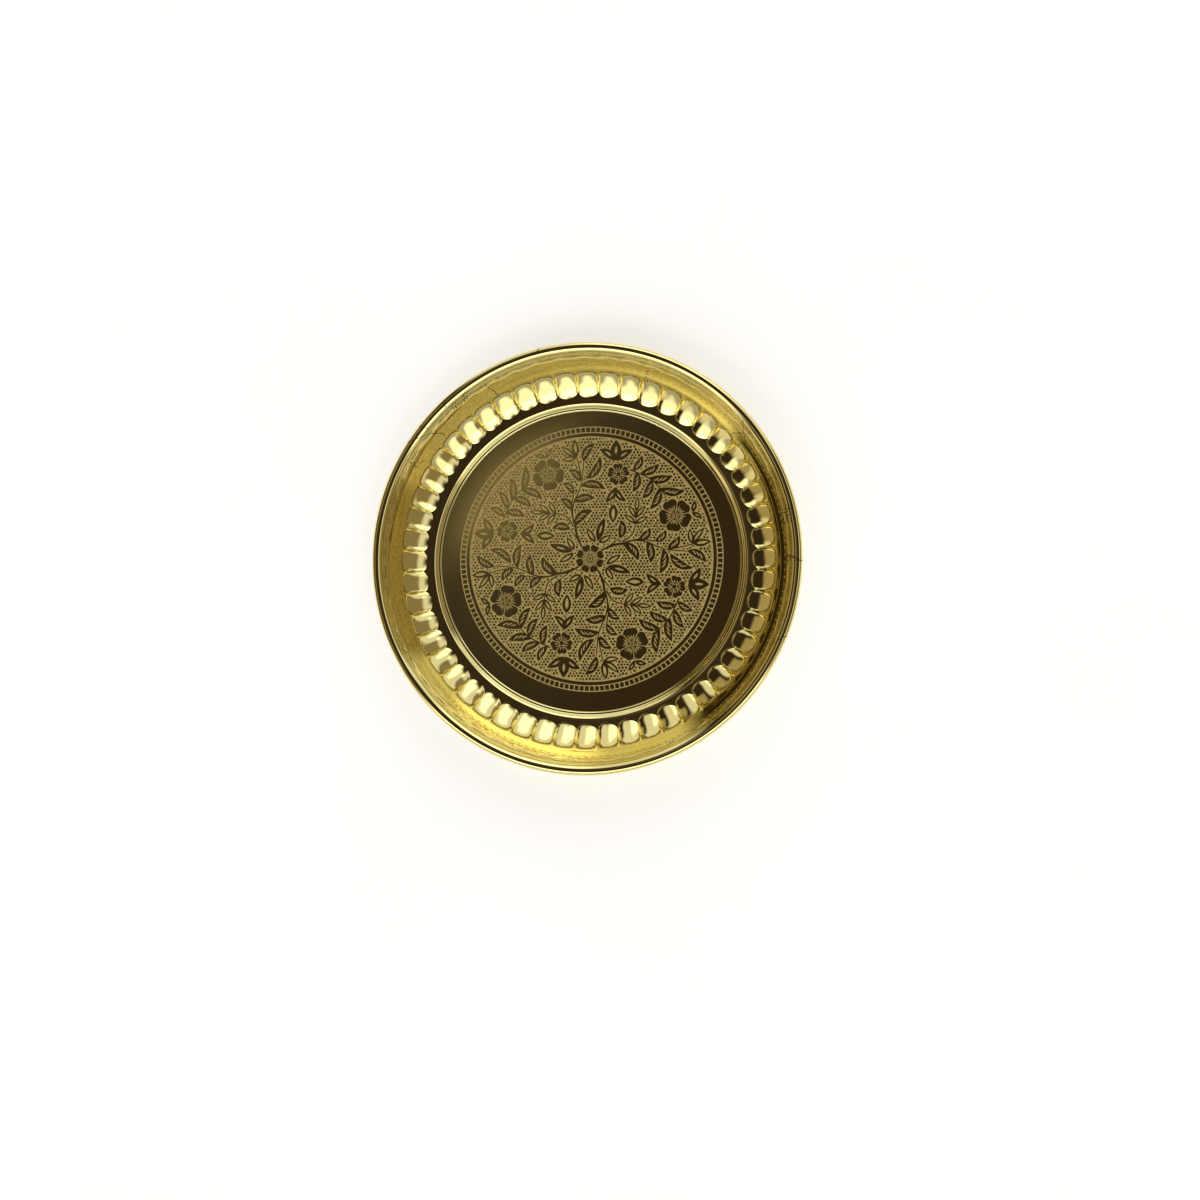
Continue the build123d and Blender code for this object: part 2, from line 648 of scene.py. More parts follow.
@dataclass(frozen=True)
class EtchedBrass(Finish):
    """Brass left matt and finely pitted by the engraver's punch."""

    name: str = "etched_brass"
    pale: Colour = (0.90, 0.74, 0.32, 1.0)
    dark: Colour = (0.55, 0.42, 0.16, 1.0)
    pit_scale: float = 2600.0
    pit_depth: float = 0.05
    pit_strength: float = 0.5
    shade_range: Span = (0.35, 0.7)
    rough_range: Span = (0.3, 0.7)
    roughness: Span = (0.55, 0.75)

    def draw(self, sheet: NodeSheet) -> None:
        """Draws the finish's nodes.

        Args:
            sheet: the node tree.
        """
        pits = sheet.noise(sheet.spot(), self.pit_scale, 2.0)
        colour = sheet.blend(sheet.ramp(pits, *self.shade_range), self.pale, self.dark)
        shader = sheet.metal(colour, sheet.ramp(pits, *self.rough_range, *self.roughness))
        sheet.bump(shader, pits, self.pit_strength, self.pit_depth)
        sheet.show(shader)


@dataclass(frozen=True)
class DrawnSteel(Finish):
    """Plain drawn wire: grey steel, duller in places."""

    name: str = "drawn_steel"
    pale: Colour = (0.56, 0.56, 0.57, 1.0)
    dull: Colour = (0.33, 0.32, 0.31, 1.0)
    patch_scale: float = 300.0
    patch_range: Span = (0.2, 0.8)
    roughness: Span = (0.25, 0.45)

    def draw(self, sheet: NodeSheet) -> None:
        """Draws the finish's nodes.

        Args:
            sheet: the node tree.
        """
        patch = sheet.noise(sheet.spot(), self.patch_scale)
        colour = sheet.blend(patch, self.pale, self.dull)
        roughness = sheet.ramp(patch, *self.patch_range, *self.roughness)
        sheet.show(sheet.metal(colour, roughness))


@dataclass(frozen=True)
class PaleFloor(Finish):
    """A matt white table top that reads as white to the eye and to metal, and keeps a shadow."""

    name: str = "pale_floor"
    white: Colour = (0.88, 0.88, 0.88, 1.0)
    off_white: Colour = (0.86, 0.86, 0.86, 1.0)
    cloud_scale: float = 6.0
    cloud_range: Span = (0.2, 0.8)
    roughness: float = 0.8
    glow: float = 0.50

    def draw(self, sheet: NodeSheet) -> None:
        """Draws the finish's nodes.

        Args:
            sheet: the node tree.
        """
        shader = sheet.add("ShaderNodeBsdfPrincipled")
        cloud = sheet.ramp(sheet.noise(sheet.spot(), self.cloud_scale), *self.cloud_range)
        sheet.feed(sheet.blend(cloud, self.white, self.off_white), shader.inputs["Base Color"])
        shader.inputs["Roughness"].default_value = self.roughness
        shader.inputs["Specular IOR Level"].default_value = 0.0
        shader.inputs["Emission Color"].default_value = (1, 1, 1, 1)
        path = sheet.add("ShaderNodeLightPath").outputs
        seen = sheet.math("MAXIMUM", path["Is Camera Ray"], path["Is Glossy Ray"])
        seen = sheet.math("MAXIMUM", seen, path["Is Transmission Ray"])
        sheet.feed(sheet.math("MULTIPLY", seen, self.glow), shader.inputs["Emission Strength"])
        sheet.show(shader)


@dataclass
class DishFloor:
    """The flat floor, its stepped moulding and the inner part of the ledge."""

    profile: SheetProfile
    seam_share: float
    steps: int = 312
    floor_rows: int = 6
    moulding_rows: tuple[tuple[Run, int], ...] = (
        (Run.BEAD_RISE, 6),
        (Run.BEAD_TOP, 6),
        (Run.BEAD_FLAT, 1),
        (Run.OVOLO_FOOT, 6),
        (Run.OVOLO_FACE, 2),
        (Run.OVOLO_CROWN, 10),
    )
    ledge_rows: int = 2

    def build(self) -> None:
        """Turns the section and dresses it."""
        section = self.profile.sample(Run.FLOOR, self.floor_rows)
        for run, count in self.moulding_rows:
            section += self.profile.sample(run, count)[1:]
        section += self.profile.sample(Run.LEDGE, self.ledge_rows, 0.0, self.seam_share)[1:]
        piece = turn_skin("dish_floor", section, self.steps)
        thicken(piece, self.profile.sizes.sheet)
        place(piece, PolishedBrass())


@dataclass
class FlutedWall:
    """The ring of flutes: pillows pressed out of the hollow bend, one modelled and then repeated.

    Lengths are in millimetres, breadth is a share of the pitch, and the rest shape the pillow.
    """

    profile: SheetProfile
    ledge_share: float
    wall_share: float
    count: int = 52
    height: float = 2.0
    toe_reach: float = 3.2
    toe_length: float = 4.8
    head_run: float = 6.4
    head_ease: float = 3.4
    phase: float = 89.9
    breadth: float = 1.05
    pillow: float = 0.52
    fullness: float = 14.0
    crease: float = 0.06
    columns: int = 20
    crowding: float = 0.55
    ledge_rows: int = 10
    cove_rows: int = 15
    wall_rows: int = 14

    def rows(self) -> list[Station]:
        """The base section under the flutes.

        Returns:
            Its stations, from the ledge's seam to the wall's.
        """
        section = self.profile.sample(Run.LEDGE, self.ledge_rows, self.ledge_share, 1.0)
        section += self.profile.sample(Run.COVE, self.cove_rows)[1:]
        return section + self.profile.sample(Run.WALL, self.wall_rows, 0.0, self.wall_share)[1:]

    def crest(self) -> tuple[Point, float]:
        """The arc that a flute's crest follows.

        Returns:
            Its centre in the half-plane and its radius.
        """
        toe = self.profile.station(Run.COVE, 0.0).offset(-self.toe_reach, 0.0)
        middle = self.profile.station(Run.COVE, 0.5).offset(0.0, self.height)
        head = self.profile.station(Run.COVE, 1.0).offset(self.head_run, 0.0)
        sides = np.array((middle - toe, head - toe))
        offset = np.linalg.solve(2 * sides, (sides**2).sum(axis=1))
        return tuple(toe + offset), float(np.hypot(*offset))

    def surface(self, rows: list[Station]) -> np.ndarray:
        """Points of one flute's share of the wall, centred on the first flute's direction.

        Args:
            rows: the base section.

        Returns:
            An array of rows by columns by xyz, in metres.
        """
        pitch = math.tau / self.count
        even = np.linspace(-1, 1, self.columns + 1)[None, :]
        crowded = np.sin(math.pi / 2 * even)
        turn = pitch / 2 * ((1 - self.crowding) * even + self.crowding * crowded)
        r = np.array([row.r for row in rows])[:, None]
        z = np.array([row.z for row in rows])[:, None]
        slope = np.array([row.slope for row in rows])[:, None]
        short = self.toe_share(rows)[:, None]
        width = self.breadth * np.sqrt(1 - short**2)
        side = np.minimum(np.abs(turn) / (pitch / 2) / np.maximum(width, 1e-6), 1.0)
        flank = 2 + (self.fullness - 2) * (1 - short) ** 2
        bulge = np.clip(1 - self.pillow * side**2 - (1 - self.pillow) * side**flank, 0, 1)
        bulge = bulge**2 / (bulge + self.crease) * (1 + self.crease)
        lift = self.crest_lift(rows)[:, None] * bulge
        out, up = r - lift * np.sin(slope), z + lift * np.cos(slope)
        angle = turn + math.radians(self.phase)
        return np.stack((out * np.cos(angle), out * np.sin(angle), up), axis=-1) * MM

    def crest_lift(self, rows: list[Station]) -> np.ndarray:
        """Height of a flute's crest over the base section, easing to nothing at the head.

        Args:
            rows: the base section.

        Returns:
            A height for each row, in millimetres.
        """
        (centre_r, centre_z), crest = self.crest()
        lifts = []
        for i, row in enumerate(rows):
            out, up = row.r - centre_r, row.z - centre_z
            toward = up * math.cos(row.slope) - out * math.sin(row.slope)
            root = toward**2 - (out**2 + up**2 - crest**2)
            plain = max(-toward - math.sqrt(max(root, 0.0)), 0.0)
            ease = self.head_ease * (i / len(rows)) ** 3
            lifts.append(plain**2 / (plain + ease + 1e-6) * (1 + ease / self.height))
        return np.array(lifts)

    def toe_share(self, rows: list[Station]) -> np.ndarray:
        """How far each row lies inside the rounded toe: 1 at its tip, 0 from its end upwards.

        Args:
            rows: the base section.

        Returns:
            A share for each row.
        """
        steps = [math.hypot(b.r - a.r, b.z - a.z) for a, b in zip(rows, rows[1:])]
        along = np.concatenate(([0.0], np.cumsum(steps)))
        start = along[self.ledge_rows] - self.toe_reach
        return np.clip(1 - (along - start) / self.toe_length, 0, 1)

    def build(self) -> None:
        """Shapes a grid into one flute, repeats it round the axis and dresses the ring."""
        rows = self.rows()
        points = self.surface(rows)
        across, up = self.columns, len(rows) - 1
        bpy.ops.mesh.primitive_grid_add(x_subdivisions=across, y_subdivisions=up, size=1)
        piece = bpy.context.active_object
        piece.name = piece.data.name = "fluted_wall"
        for vertex in piece.data.vertices:
            column = round((vertex.co.x + 0.5) * across)
            row = round((vertex.co.y + 0.5) * up)
            vertex.co = points[row, column]
        others = self.count - 1
        share = math.tau * others / self.count
        with editing(piece):
            bpy.ops.mesh.spin(steps=others, dupli=True, angle=share, center=(0, 0, 0), axis=(0, 0, 1))
        weld(piece)
        thicken(piece, self.profile.sizes.sheet)
        place(piece, WornBrass())


@dataclass(frozen=True)
class Bead:
    """A fine line pressed round the band, in millimetres, with its distance up the wall."""

    distance: float
    height: float
    breadth: float
    scallop: float = 0.0


@dataclass(frozen=True)
class Drift:
    """A slow waver of the scalloped line: its size, waves round the plate and phase in radians."""

    size: float
    waves: int
    phase: float


@dataclass
class RolledRim:
    """The plain band above the flutes, the shoulder and the edge curled round the wire."""

    profile: SheetProfile
    seam_share: float
    steps: int = 624
    wall_rows: int = 30
    shoulder_rows: int = 10
    curl_rows: int = 24
    waves: int = 52
    phase: float = 89.9
    beads: tuple[Bead, ...] = (
        Bead(12.6, 0.18, 0.45, 0.32),
        Bead(14.3, -0.07, 0.22),
        Bead(15.0, -0.07, 0.22),
    )
    drifts: tuple[Drift, ...] = (Drift(0.5, 5, 0.7), Drift(0.35, 11, 0.0))
    plain_edge: float = 0.3
    skin: float = 1e-3

    def build(self) -> None:
        """Turns the section, presses the lines into the band and dresses it."""
        section = self.profile.sample(Run.WALL, self.wall_rows, self.seam_share, 1.0)
        section += self.profile.sample(Run.SHOULDER, self.shoulder_rows)[1:]
        section += self.profile.sample(Run.CURL, self.curl_rows)[1:]
        piece = turn_skin("rolled_rim", section, self.steps)
        self.press_lines(piece)
        thicken(piece, self.profile.sizes.sheet)
        place(piece, WornBrass())

    def press_lines(self, piece: bpy.types.Object) -> None:
        """Lifts the band's surface along its lines.

        Args:
            piece: the turned skin.
        """
        foot, top = self.profile.station(Run.WALL, 0.0), self.profile.station(Run.WALL, 1.0)
        long = math.hypot(top.r - foot.r, top.z - foot.z)
        c, s = (top.r - foot.r) / long, (top.z - foot.z) / long
        depth = self.profile.sizes.wall_swell + self.skin
        start, end = self.seam_share * long + self.plain_edge, long + self.plain_edge
        for vertex in piece.data.vertices:
            r = math.hypot(vertex.co.x, vertex.co.y) / MM - foot.r
            z = vertex.co.z / MM - foot.z
            along, off = r * c + z * s, abs(z * c - r * s)
            if off > depth or not start < along < end:
                continue
            angle = math.atan2(vertex.co.y, vertex.co.x)
            sway = math.cos(self.waves * (angle - math.radians(self.phase)))
            sway += sum(d.size * math.sin(d.waves * angle + d.phase) for d in self.drifts)
            lift = 0.0
            for bead in self.beads:
                centre = bead.distance + bead.scallop * sway
                lift += bead.height * math.exp(-(((along - centre) / bead.breadth) ** 2))
            vertex.co += Vector((-s * math.cos(angle), -s * math.sin(angle), c)) * lift * MM


def polygon(radius: float, sides: int, start: float = 0.0) -> np.ndarray:
    """A regular polygon round the origin.

    Args:
        radius: of its corners.
        sides: how many it has.
        start: direction of the first corner in radians.

    Returns:
        The corners, one row for each.
    """
    a = start + np.linspace(0, math.tau, sides, endpoint=False)
    return radius * np.stack((np.cos(a), np.sin(a)), axis=1)


class LeafCut(Enum):
    """What is etched inside a leaf: a lens by start, end, breadth and points, or veins by start."""

    STROKE = (0.30, 0.72, 0.24, 5)
    LENS = (0.20, 0.84, 0.40, 8)
    VEINED = (0.16, 0.33, 0.50)


@dataclass(frozen=True)
class Leaf:
    """An engraved leaf, in millimetres from the middle of the pattern."""

    edge_points: ClassVar[int] = 12
    lean: ClassVar[float] = 0.9
    fullness: ClassVar[float] = 0.85
    vein_points: ClassVar[int] = 5
    vein_run: ClassVar[float] = 0.26
    vein_foot: ClassVar[float] = 0.16
    vein_head: ClassVar[float] = 0.24
    vein_width: ClassVar[float] = 0.62
    vein_bend: ClassVar[float] = 0.12
    base: Point
    tip: Point
    width: float
    bend: float = 0.0
    cut: LeafCut = LeafCut.STROKE

    def lens(self, start: float, end: float, breadth: float, points: int) -> np.ndarray:
        """A pointed oval along a part of the leaf's spine.

        Args:
            start: share of the spine where it begins.
            end: share where it ends.
            breadth: its width as a share of the leaf's.
            points: number of points on each side.

        Returns:
            The outline, one row for each point.
        """
        base, tip = np.array(self.base), np.array(self.tip)
        along = tip - base
        left = np.array((-along[1], along[0]))
        t = np.linspace(0, 1, points + 1)
        at = start + (end - start) * t
        spine = base + np.outer(at, along) + np.outer(4 * at * (1 - at) * self.bend, left)
        run = np.gradient(spine, axis=0)
        side = np.stack((-run[:, 1], run[:, 0]), axis=1)
        side /= np.linalg.norm(side, axis=1)[:, None]
        half = self.width / 2 * breadth * np.sin(math.pi * t**self.lean) ** self.fullness
        reach = side * half[:, None]
        return np.concatenate((spine + reach, (spine - reach)[-2:0:-1]))

    def shapes(self) -> list[Outline]:
        """The leaf as outlines.

        Returns:
            The outlines, each polished or etched, later ones over earlier ones.
        """
        leaf = (self.lens(0.0, 1.0, 1.0, self.edge_points), True)
        if self.cut is LeafCut.VEINED:
            return [leaf] + [(self._vein(start), False) for start in self.cut.value]
        return [leaf, (self.lens(*self.cut.value), False)]

    def _vein(self, start: float) -> np.ndarray:
        """A slanting stroke from the spine towards the tip.

        Args:
            start: share of the spine where the stroke leaves it.

        Returns:
            The stroke's outline.
        """
        base, tip = np.array(self.base), np.array(self.tip)
        along = tip - base
        left = np.array((-along[1], along[0]))
        side = left / np.linalg.norm(left) * (-1.0 if self.bend > 0 else 1.0)
        end = start + self.vein_run
        foot = base + along * start + left * 4 * start * (1 - start) * self.bend
        head = base + along * end + left * 4 * end * (1 - end) * self.bend
        foot = tuple(foot - side * self.width * self.vein_foot)
        head = tuple(head + side * self.width * self.vein_head)
        stroke = Leaf(foot, head, self.vein_width, math.copysign(self.vein_bend, self.bend))
        return stroke.lens(0.0, 1.0, 1.0, self.vein_points)


@dataclass(frozen=True)
class Stem:
    """An engraved stem through a few points, in millimetres from the middle of the pattern."""

    points: tuple[Point, ...]
    width: float = 0.75
    steps: int = 4
    taper: float = 0.55

    def shapes(self) -> list[Outline]:
        """The stem as an outline, drawn as a smooth curve through its points.

        Returns:
            One polished outline.
        """
        knots = np.array(self.points, dtype=float)
        padded = np.concatenate((2 * knots[:1] - knots[1:2], knots, 2 * knots[-1:] - knots[-2:-1]))
        line = []
        for a, b, c, d in zip(padded, padded[1:], padded[2:], padded[3:]):
            bow = 2 * a - 5 * b + 4 * c - d
            twist = 3 * b - a - 3 * c + d
            for t in np.linspace(0, 1, self.steps + 1)[:-1]:
                line.append(0.5 * (2 * b + (c - a) * t + bow * t**2 + twist * t**3))
        line = np.array(line + [knots[-1]])
        run = np.gradient(line, axis=0)
        side = np.stack((-run[:, 1], run[:, 0]), axis=1) / np.linalg.norm(run, axis=1)[:, None]
        half = self.width / 2 * np.linspace(1.0, self.taper, len(line))[:, None]
        return [(np.concatenate((line + side * half, (line - side * half)[::-1])), True)]


@dataclass(frozen=True)
class Blossom:
    """An engraved flower with notched petals, strokes on them and a ringed eye.

    Lengths are in millimetres; what shapes a petal or a stroke is a share of the radius or the pitch.
    """

    centre: Point
    petals: int
    radius: float
    turn: float
    strokes: int
    notch: float
    eye: float
    ringed: bool
    gap: float = 0.24
    hub_gap: float = 0.35
    least_half_hub: float = 0.05
    droop: float = 0.2
    notch_breadth: float = 0.22
    edge_points: int = 15
    stroke_gap: float = 0.5
    stroke_width: float = 0.46
    stroke_span: float = 0.72
    outer_stroke: float = 0.64
    inner_stroke: float = 0.56
    stroke_points: int = 4
    eye_points: int = 16
    ring_share: float = 0.68
    ring_points: int = 12
    pupil_share: float = 0.40
    pupil_points: int = 8

    def shapes(self) -> list[Outline]:
        """The flower as outlines.

        Returns:
            The outlines, each polished or etched, later ones over earlier ones.
        """
        middle, pitch = np.array(self.centre), math.tau / self.petals
        made = []
        for i in range(self.petals):
            heading = math.radians(self.turn) + i * pitch
            made.append((middle + self._petal(heading), True))
            made += [(self._stroke(heading, j), False) for j in range(self.strokes)]
        made.append((middle + polygon(self.eye, self.eye_points), True))
        if self.ringed:
            made.append((middle + polygon(self.eye * self.ring_share, self.ring_points), False))
            made.append((middle + polygon(self.eye * self.pupil_share, self.pupil_points), True))
        return made

    def _petal(self, heading: float) -> np.ndarray:
        """One petal, seen from the flower's centre.

        Args:
            heading: its direction in radians.

        Returns:
            The petal's outline.
        """
        half = math.pi / self.petals
        share = np.linspace(-1, 1, self.edge_points)
        dent = self.notch * np.exp(-((share / self.notch_breadth) ** 2))
        edge = self.radius * (1 - self.droop * share**4 - dent)
        a = heading + share * (half - self.gap / self.radius)
        outer = np.stack((edge * np.cos(a), edge * np.sin(a)), axis=1)
        hub = self.eye + self.hub_gap
        b = heading + np.array((1.0, -1.0)) * max(half - self.gap / hub, self.least_half_hub)
        inner = hub * np.stack((np.cos(b), np.sin(b)), axis=1)
        return np.concatenate((outer, inner))

    def _stroke(self, heading: float, index: int) -> np.ndarray:
        """One etched stroke on a petal.

        Args:
            heading: the petal's direction in radians.
            index: which stroke.

        Returns:
            The stroke's outline.
        """
        middle, pitch = np.array(self.centre), math.tau / self.petals
        b = heading + pitch * self.stroke_span * ((index + 0.5) / self.strokes - 0.5)
        long = self.outer_stroke if index in (0, self.strokes - 1) else self.inner_stroke
        way = np.array((math.cos(b), math.sin(b)))
        start = middle + (self.eye + self.stroke_gap) * way
        end = middle + self.radius * long * way
        return Leaf(tuple(start), tuple(end), self.stroke_width).lens(0.0, 1.0, 1.0, self.stroke_points)


Motif = Leaf | Stem | Blossom


@dataclass
class FloorEngraving:
    """The engraved disc: a ladder border round four turns of one spray of leaves and flowers.

    Sizes are in millimetres. Polished islands stand a hair above the matt, punched ground.
    """

    floor_top: float
    centre: Point = (0.7, 0.9)
    radius: float = 64.4
    edge_points: int = 320
    rung_band: Span = (61.7, 63.9)
    rungs: int = 160
    rung_share: float = 0.76
    plain_ring: Span = (59.6, 61.2)
    ring_points: int = 240
    field_edge: float = 58.9
    dot_pitch: float = 1.60
    dot_row: float = 0.866
    dot_radius: float = 0.66
    dot_least: float = 0.36
    dot_clear: float = 0.28
    dot_stray: float = 0.12
    dot_spares: int = 30000
    dot_sides: int = 6
    dot_seed: int = 7
    ground: float = 0.02
    relief: float = 0.06
    merge: float = 1e-4

    def quarter(self) -> list[Motif]:
        """One quarter of the pattern.

        Returns:
            Its stems, leaves and flowers, in millimetres from the middle.
        """
        stroke, lens, veined = LeafCut.STROKE, LeafCut.LENS, LeafCut.VEINED
        branch = ((-5.6, -3.9), (-10.9, -6.5), (-15.8, -7.3), (-21.5, -8.6), (-27.5, -7.8))
        branch += ((-32.5, -5.6), (-37.5, -4.0), (-47.1, -3.1))
        return [
            Stem(branch, 0.9),
            Stem(((-17.0, -7.8), (-24.8, -9.2), (-31.0, -8.2), (-35.0, -9.4), (-37.0, -12.0))),
            Stem(((-38.0, -4.2), (-44.9, -5.3), (-49.8, -6.6))),
            Stem(((-4.4, 8.3), (-7.2, 11.0), (-9.7, 14.3))),
            Stem(((-5.4, 9.8), (-6.4, 12.7), (-6.8, 16.8))),
            Stem(((-15.6, -8.1), (-20.2, -11.1), (-22.1, -16.4), (-22.7, -24.6))),
            Stem(((-19.3, -43.0), (-22.1, -41.8), (-28.5, -38.7), (-33.4, -34.5), (-37.2, -28.9))),
            Stem(((-34.0, 12.7), (-30.0, 12.1), (-26.1, 11.5)), 0.6),
            Leaf((-15.8, -7.2), (-23.0, 1.0), 4.3, 0.16, veined),
            Leaf((-27.5, -7.8), (-29.3, 2.5), 4.2, 0.12, veined),
            Leaf((-35.4, -4.4), (-33.6, 7.6), 4.2, 0.14, veined),
            Leaf((-39.0, -2.2), (-50.0, 4.9), 4.0, -0.16, veined),
            Leaf((-47.1, -3.1), (-56.1, 2.5), 4.0, 0.14, veined),
            Leaf((-37.4, -5.0), (-43.4, -10.6), 3.8, -0.16, veined),
            Leaf((-31.4, -8.2), (-36.9, -13.6), 3.4, -0.16, veined),
            Leaf((-23.6, -9.3), (-29.3, -14.7), 3.8, -0.16, veined),
            Leaf((-49.8, -6.6), (-58.4, -7.8), 3.6, 0.0, lens),
            Leaf((-49.8, -6.6), (-55.4, -14.2), 2.9, 0.06, lens),
            Leaf((-49.8, -6.6), (-48.4, -14.0), 2.9, 0.06, lens),
            Leaf((-9.7, 14.3), (-18.6, 14.9), 4.0, -0.14, veined),
            Leaf((-6.8, 16.8), (1.1, 23.5), 4.0, 0.16, veined),
            Leaf((-8.4, 3.9), (-19.9, 7.2), 3.9, 0.03, stroke),
            Leaf((-7.9, 4.1), (-11.5, 10.4), 3.0, -0.05, lens),
            Leaf((-7.9, 2.9), (-15.2, -1.6), 3.0, 0.03, lens),
            Leaf((-47.4, 12.5), (-52.6, 21.0), 4.0, 0.05, stroke),
            Leaf((-47.6, 12.6), (-57.6, 12.9), 5.4, 0.0, stroke),
            Leaf((-47.4, 12.2), (-53.2, 4.6), 4.0, -0.1, stroke),
            Leaf((-34.6, 12.5), (-27.6, 17.8), 3.2, -0.14, stroke),
            Leaf((-34.6, 12.9), (-27.2, 7.4), 3.4, 0.06, stroke),
            Leaf((-26.3, 11.5), (-17.2, 11.2), 4.4, 0.0, lens),
            Leaf((-49.2, -21.6), (-54.2, -18.4), 2.4, 0.08, stroke),
            Leaf((-49.4, -21.8), (-50.6, -27.6), 2.6, -0.08, stroke),
            Leaf((-22.1, -16.6), (-28.5, -20.0), 2.6, 0.04, lens),
            Leaf((-22.3, -19.4), (-27.2, -25.2), 2.6, 0.04, lens),
            Leaf((-22.6, -22.6), (-23.3, -30.0), 2.5, 0.0, lens),
            Leaf((-22.3, -19.4), (-18.5, -25.6), 2.6, -0.04, lens),
            Leaf((-22.1, -16.6), (-16.4, -21.2), 2.6, -0.04, lens),
            Leaf((-33.6, -33.8), (-29.0, -23.6), 4.1, 0.14, veined),
            Leaf((-29.6, -38.0), (-25.3, -28.8), 4.0, 0.14, veined),
            Leaf((-22.4, -41.8), (-20.8, -32.0), 4.0, 0.14, veined),
            Leaf((-34.2, -33.8), (-46.0, -32.4), 4.2, -0.12, veined),
            Leaf((-28.6, -38.8), (-40.2, -39.7), 4.2, -0.12, veined),
            Leaf((-24.6, -41.2), (-33.7, -45.5), 3.8, -0.12, veined),
            Leaf((-20.8, -42.6), (-25.4, -49.8), 3.6, -0.12, veined),
            Blossom((-41.4, -20.5), 5, 8.0, 81.0, 4, 0.05, 1.5, True),
            Blossom((-40.8, 13.9), 5, 5.5, 39.0, 2, 0.12, 1.1, False),
        ]

    def daisy(self) -> Blossom:
        """The flower in the middle of the pattern."""
        return Blossom((0.0, 0.0), 8, 7.0, 20.0, 3, 0.06, 1.7, True)

    def outlines(self) -> list[Outline]:
        """All outlines of the disc.

        Returns:
            The outlines, later ones over earlier ones, the disc itself first.
        """
        made = [(polygon(self.radius, self.edge_points), False)]
        made.append((polygon(self.plain_ring[1], self.ring_points), True))
        made.append((polygon(self.plain_ring[0], self.ring_points), False))
        pitch = math.tau / self.rungs
        for i in range(self.rungs):
            a = i * pitch + np.array((0.0, self.rung_share, self.rung_share, 0.0)) * pitch
            r = np.repeat(self.rung_band, 2)
            made.append((np.stack((r * np.cos(a), r * np.sin(a)), axis=1), True))
        motifs = []
        for turn in range(4):
            c, s = round(math.cos(turn * math.pi / 2)), round(math.sin(turn * math.pi / 2))
            spin = np.array(((c, s), (-s, c)))
            for motif in self.quarter():
                motifs += [(outline @ spin, polished) for outline, polished in motif.shapes()]
        motifs += self.daisy().shapes()
        return made + self.dots(motifs) + motifs

    def dots(self, motifs: list[Outline]) -> list[Outline]:
        """Small polished dots that fill the ground between the motifs.

        Args:
            motifs: the outlines to keep clear of.

        Returns:
            The dots' outlines.
        """
        draw = np.random.default_rng(self.dot_seed)
        reach = math.ceil(self.field_edge / self.dot_pitch) + 1
        i, j = np.meshgrid(np.arange(-reach, reach + 1), np.arange(-2 * reach, 2 * reach + 1))
        rows = np.stack((i + 0.5 * (j % 2), j * self.dot_row), axis=-1).reshape(-1, 2) * self.dot_pitch
        rows = rows + draw.uniform(-self.dot_stray, self.dot_stray, rows.shape)
        spare = draw.uniform(-self.field_edge, self.field_edge, (self.dot_spares, 2))
        at = np.concatenate((rows, spare))
        room = np.minimum(self.dot_radius, self.field_edge - np.hypot(*at.T))
        margin = self.dot_radius + self.dot_clear
        for outline, polished in motifs:
            if polished:
                low, high = outline.min(axis=0) - margin, outline.max(axis=0) + margin
                close = np.flatnonzero(((at > low) & (at < high)).all(axis=1))
                room[close] = np.minimum(room[close], clearance(outline, at[close]) - self.dot_clear)
        keep = room > self.dot_least
        at, room = at[keep], room[keep]
        made = []
        for k, centre in enumerate(at):
            if room[k] > self.dot_least:
                size = room[k]
                room = np.minimum(room, np.hypot(*(at - centre).T) - size - self.dot_clear)
                dot = polygon(size, self.dot_sides, draw.uniform(0, math.tau))
                made.append((centre + dot, True))
        return made

    def build(self) -> None:
        """Cuts the disc along all outlines, raises the polished islands and dresses both levels."""
        outlines = self.outlines()
        points: list[Vector] = []
        rings: list[list[int]] = []
        for outline, _ in outlines:
            ring = list(range(len(points), len(points) + len(outline)))
            x, y = outline.T
            turns_left = (x * np.roll(y, -1) - y * np.roll(x, -1)).sum() > 0
            rings.append(ring if turns_left else ring[::-1])
            points += [Vector(corner) for corner in outline.tolist()]
        inside_only = 1
        flat, _, faces, _, _, parents = delaunay_2d_cdt(points, [], rings, inside_only, self.merge)
        level = (self.floor_top + self.ground) * MM
        mesh = bpy.data.meshes.new("floor_engraving")
        corners = [((p.x + self.centre[0]) * MM, (p.y + self.centre[1]) * MM, level) for p in flat]
        mesh.from_pydata(corners, [], faces)
        mesh.materials.append(EtchedBrass().material())
        mesh.materials.append(PolishedBrass().material())
        for face, owners in zip(mesh.polygons, parents):
            face.material_index = int(outlines[max(owners)][1])
        piece = bpy.data.objects.new("floor_engraving", mesh)
        bpy.context.scene.collection.objects.link(piece)
        face_up(piece)
        self.raise_islands(piece)
        place(piece)

    def raise_islands(self, piece: bpy.types.Object) -> None:
        """Lifts the polished faces and drops the disc's edge to the floor.

        Args:
            piece: the flat, cut disc.
        """
        drop, rise = (0, 0, -self.ground * MM), (0, 0, self.relief * MM)
        with editing(piece):
            bpy.ops.mesh.select_mode(type="EDGE")
            bpy.ops.mesh.select_all(action="DESELECT")
            bpy.ops.mesh.select_non_manifold()
            bpy.ops.mesh.extrude_region_move(TRANSFORM_OT_translate={"value": drop})
            bpy.ops.mesh.select_mode(type="FACE")
            bpy.ops.mesh.select_all(action="DESELECT")
        for face in piece.data.polygons:
            face.select = face.material_index == 1
        with editing(piece, everything=False):
            bpy.ops.mesh.extrude_region_move(TRANSFORM_OT_translate={"value": rise})
            bpy.ops.mesh.select_mode(type="VERT")


